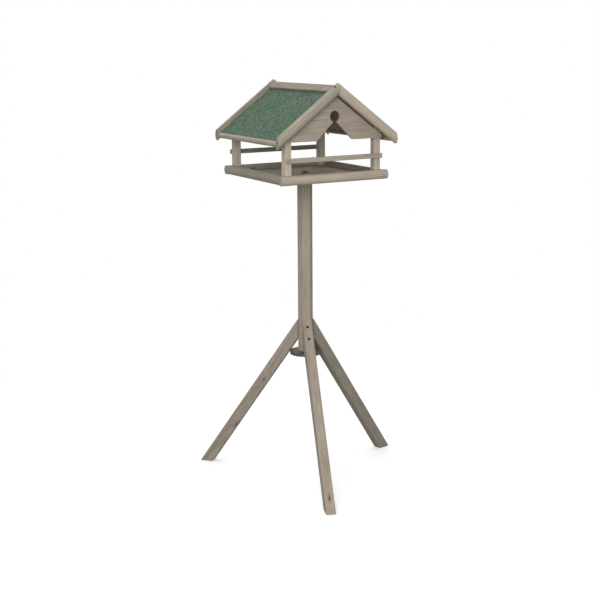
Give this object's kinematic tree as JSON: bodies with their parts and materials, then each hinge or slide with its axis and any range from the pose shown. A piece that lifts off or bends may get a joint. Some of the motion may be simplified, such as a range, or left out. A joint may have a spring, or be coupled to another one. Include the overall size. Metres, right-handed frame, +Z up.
{
  "type": "bird table",
  "caption": "Garden bird table: a rimmed feeding tray under a felted gable roof with keyhole gables, on a hexagonal pole carried by splayed legs.",
  "frame": {"origin": "middle of the box round the whole table, at the height of the soles; the pole's axis stands 57.2 mm towards -X and 38.5 mm towards +Y of it", "axes": "+Z up along the pole; the front gable faces -Y and the ridge runs along Y"},
  "size_m": [0.6708, 0.69, 1.3505],
  "materials": {
    "glazed_pine": "planed pine under a thin grey-brown glaze, matt",
    "glazed_plywood": "sanded softwood plywood under the same glaze, matt",
    "mineral_felt": "green mineral-surfaced roofing felt, gritty and matt",
    "dark_zinc": "dark zinc-plated steel screws and pins"
  },
  "bodies": {
    "root": {"bargeboard_front_left": "glazed_pine", "bargeboard_front_right": "glazed_pine", "bargeboard_rear_left": "glazed_pine", "bargeboard_rear_right": "glazed_pine", "base_disc": "glazed_pine", "disc_screw": "dark_zinc", "eaves_strip_left": "glazed_pine", "eaves_strip_right": "glazed_pine", "felt_left": "mineral_felt", "felt_right": "mineral_felt", "gable_front": "glazed_pine", "gable_pin_front_left": "dark_zinc", "gable_pin_front_right": "dark_zinc", "gable_pin_rear_left": "dark_zinc", "gable_pin_rear_right": "dark_zinc", "gable_rear": "glazed_pine", "leg_front": "glazed_pine", "leg_left": "glazed_pine", "leg_right": "glazed_pine", "leg_screw_front_lower": "dark_zinc", "leg_screw_front_upper": "dark_zinc", "leg_screw_left_lower": "dark_zinc", "leg_screw_left_upper": "dark_zinc", "leg_screw_right_lower": "dark_zinc", "leg_screw_right_upper": "dark_zinc", "mitre_screw_front": "dark_zinc", "mitre_screw_rear": "dark_zinc", "pole": "glazed_pine", "post_front_left": "glazed_pine", "post_front_right": "glazed_pine", "post_rear_left": "glazed_pine", "post_rear_right": "glazed_pine", "post_screw_front_left": "dark_zinc", "post_screw_front_right": "dark_zinc", "post_screw_rear_left": "dark_zinc", "post_screw_rear_right": "dark_zinc", "rail_front": "glazed_pine", "rail_pin_front_left": "dark_zinc", "rail_pin_front_right": "dark_zinc", "rail_pin_rear_left": "dark_zinc", "rail_pin_rear_right": "dark_zinc", "rail_rear": "glazed_pine", "ridge_board_left": "glazed_pine", "ridge_board_right": "glazed_pine", "ridge_screw_left_front": "dark_zinc", "ridge_screw_left_rear": "dark_zinc", "ridge_screw_right_front": "dark_zinc", "ridge_screw_right_rear": "dark_zinc", "roof_panel_left": "glazed_plywood", "roof_panel_right": "glazed_plywood", "tray_board_front": "glazed_pine", "tray_board_left": "glazed_pine", "tray_board_rear": "glazed_pine", "tray_board_right": "glazed_pine", "tray_floor": "glazed_plywood", "tray_screw": "dark_zinc", "tray_washer": "dark_zinc"}
  },
  "joints": []
}
